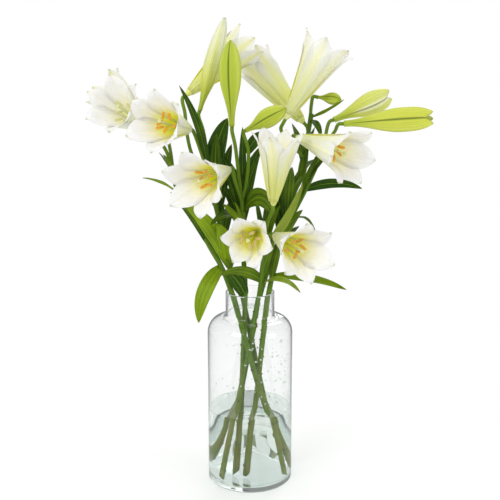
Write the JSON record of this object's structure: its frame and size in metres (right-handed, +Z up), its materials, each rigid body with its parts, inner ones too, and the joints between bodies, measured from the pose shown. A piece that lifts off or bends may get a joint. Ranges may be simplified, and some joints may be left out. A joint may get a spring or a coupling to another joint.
{
  "type": "lilies in a vase",
  "caption": "Loose bouquet of white trumpet lilies, open flowers and buds on leafy stems, standing in a clear glass vase of water with a narrower neck.",
  "frame": {"origin": "centre of the vase's flat base", "axes": "+Z up along the vase's axis; -Y is the front of the bouquet, as pictured; +X to the viewer's right"},
  "size_m": [0.5475, 0.3311, 0.7613],
  "materials": {
    "glass": "clear, smooth, faint green tint at the foot",
    "water": "clear still water",
    "stems_and_leaves": "living green, satin leaves with parallel veins",
    "petals": "waxy white, yellow-green towards the throat",
    "stamens": "orange pollen on pale green filaments",
    "buds": "waxy yellow-green with cream seams"
  },
  "bodies": {
    "root": {"vase": "glass", "water": "water", "stem_1": "stems_and_leaves", "stem_2": "stems_and_leaves", "stem_3": "stems_and_leaves", "stem_4": "stems_and_leaves", "stem_5": "stems_and_leaves", "stem_6": "stems_and_leaves", "flower_1": "petals", "flower_2": "petals", "flower_3": "petals", "flower_4": "petals", "flower_5": "petals", "flower_6": "petals", "flower_7": "petals", "flower_8": "petals", "flower_9": "petals", "flower_10": "petals", "flower_11": "petals", "stamens_1": "stamens", "stamens_2": "stamens", "stamens_3": "stamens", "stamens_4": "stamens", "stamens_5": "stamens", "stamens_6": "stamens", "stamens_7": "stamens", "stamens_8": "stamens", "stamens_9": "stamens", "stamens_10": "stamens", "stamens_11": "stamens", "bud_1": "buds", "bud_2": "buds", "bud_3": "buds", "bud_4": "buds", "bud_5": "buds", "bud_6": "buds"}
  },
  "joints": []
}
